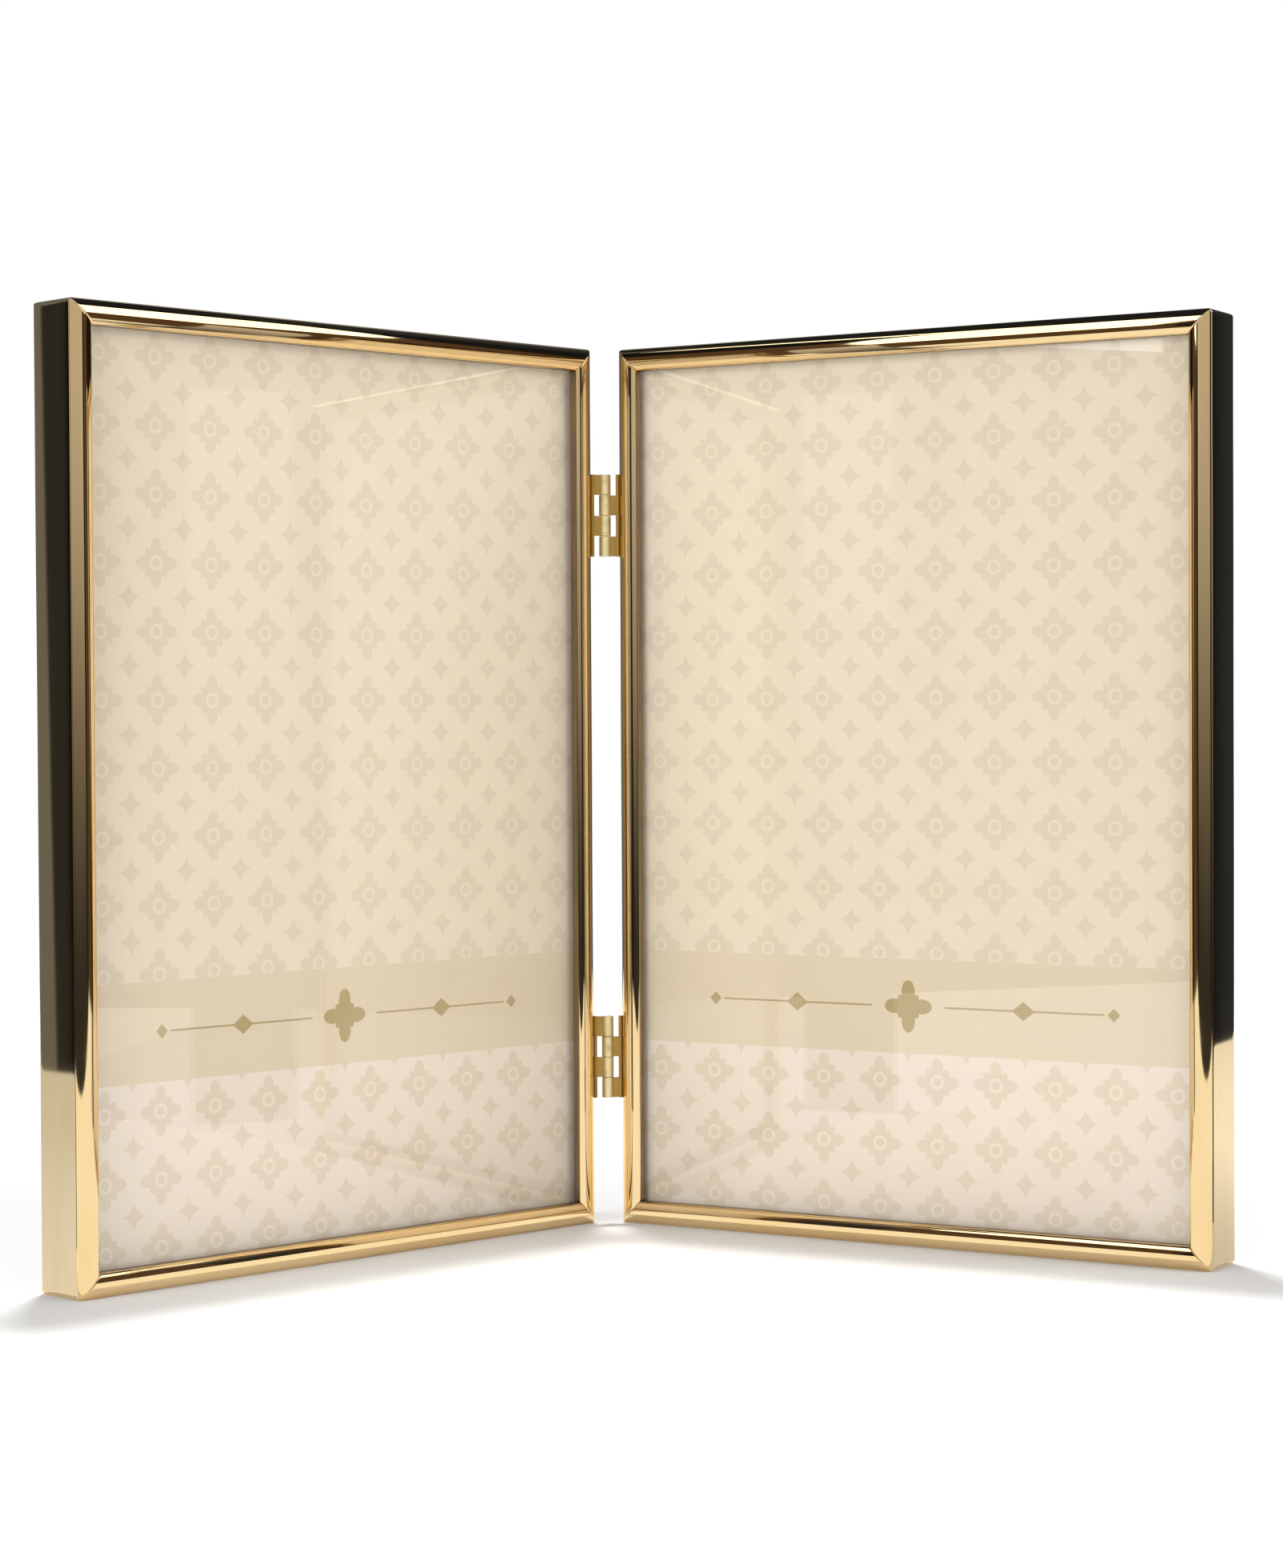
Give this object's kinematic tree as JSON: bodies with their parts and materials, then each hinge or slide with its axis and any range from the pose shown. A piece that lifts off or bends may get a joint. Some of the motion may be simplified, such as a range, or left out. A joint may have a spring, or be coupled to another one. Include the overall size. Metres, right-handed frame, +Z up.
{
  "type": "hinged double photo frame",
  "caption": "Two glazed 5 by 7 inch photo frames of polished gold metal, hinged side by side like a book, with backing boards held by turn buttons.",
  "frame": {"origin": "centre of the whole object's box, at the level of the surface that it stands on", "axes": "+Z up, +X along the width to the viewer's right, +Y away from the viewer, towards the hinges"},
  "size_m": [0.225, 0.0892, 0.1815],
  "materials": {
    "polished_gold": "polished",
    "satin_brass": "satin",
    "glass": "clear",
    "print_paper": "matt print",
    "grey_card": "plain",
    "hardboard": "pressed",
    "velveteen": "flocked",
    "brassed_steel": "plated",
    "plain_steel": "plain"
  },
  "bodies": {
    "left_leaf": {"left_backing_board": "hardboard", "left_bottom_rail": "polished_gold", "left_button_studs": "brassed_steel", "left_corner_keys": "plain_steel", "left_filler_card": "grey_card", "left_glass": "glass", "left_hinge_rivets": "satin_brass", "left_inner_stile": "polished_gold", "left_lower_hinge_plate": "satin_brass", "left_outer_stile": "polished_gold", "left_print": "print_paper", "left_top_rail": "polished_gold", "left_upper_hinge_plate": "satin_brass", "left_velveteen": "velveteen", "lower_hinge_pin": "satin_brass", "upper_hinge_pin": "satin_brass"},
    "right_leaf": {"right_backing_board": "hardboard", "right_bottom_rail": "polished_gold", "right_button_studs": "brassed_steel", "right_corner_keys": "plain_steel", "right_filler_card": "grey_card", "right_glass": "glass", "right_hinge_rivets": "satin_brass", "right_inner_stile": "polished_gold", "right_lower_hinge_plate": "satin_brass", "right_outer_stile": "polished_gold", "right_print": "print_paper", "right_top_rail": "polished_gold", "right_upper_hinge_plate": "satin_brass", "right_velveteen": "velveteen"},
    "left_lower_inner_turn_button": {"left_lower_inner_turn_button": "brassed_steel"},
    "left_lower_outer_turn_button": {"left_lower_outer_turn_button": "brassed_steel"},
    "left_upper_inner_turn_button": {"left_upper_inner_turn_button": "brassed_steel"},
    "left_upper_outer_turn_button": {"left_upper_outer_turn_button": "brassed_steel"},
    "right_lower_inner_turn_button": {"right_lower_inner_turn_button": "brassed_steel"},
    "right_lower_outer_turn_button": {"right_lower_outer_turn_button": "brassed_steel"},
    "right_upper_inner_turn_button": {"right_upper_inner_turn_button": "brassed_steel"},
    "right_upper_outer_turn_button": {"right_upper_outer_turn_button": "brassed_steel"}
  },
  "joints": [
    {"name": "leaf_hinge", "type": "hinge", "parent": "left_leaf", "child": "right_leaf", "pos_m": [0, 0.03629, 0.09075], "axis": [0, 0, 1], "range_deg": [-104, 94]},
    {"name": "right_lower_inner_button_turn", "type": "hinge", "parent": "right_leaf", "child": "right_lower_inner_turn_button", "pos_m": [0.01628, 0.03829, 0.049], "axis": [0.6157, 0.788, 0], "continuous": true},
    {"name": "left_lower_inner_button_turn", "type": "hinge", "parent": "left_leaf", "child": "left_lower_inner_turn_button", "pos_m": [-0.01628, 0.03829, 0.049], "axis": [-0.6157, 0.788, 0], "continuous": true},
    {"name": "right_lower_outer_button_turn", "type": "hinge", "parent": "right_leaf", "child": "right_lower_outer_turn_button", "pos_m": [0.10486, -0.03091, 0.049], "axis": [0.6157, 0.788, 0], "continuous": true},
    {"name": "left_lower_outer_button_turn", "type": "hinge", "parent": "left_leaf", "child": "left_lower_outer_turn_button", "pos_m": [-0.10486, -0.03091, 0.049], "axis": [-0.6157, 0.788, 0], "continuous": true},
    {"name": "right_upper_inner_button_turn", "type": "hinge", "parent": "right_leaf", "child": "right_upper_inner_turn_button", "pos_m": [0.01628, 0.03829, 0.1325], "axis": [0.6157, 0.788, 0], "continuous": true},
    {"name": "left_upper_inner_button_turn", "type": "hinge", "parent": "left_leaf", "child": "left_upper_inner_turn_button", "pos_m": [-0.01628, 0.03829, 0.1325], "axis": [-0.6157, 0.788, 0], "continuous": true},
    {"name": "right_upper_outer_button_turn", "type": "hinge", "parent": "right_leaf", "child": "right_upper_outer_turn_button", "pos_m": [0.10486, -0.03091, 0.1325], "axis": [0.6157, 0.788, 0], "continuous": true},
    {"name": "left_upper_outer_button_turn", "type": "hinge", "parent": "left_leaf", "child": "left_upper_outer_turn_button", "pos_m": [-0.10486, -0.03091, 0.1325], "axis": [-0.6157, 0.788, 0], "continuous": true}
  ]
}
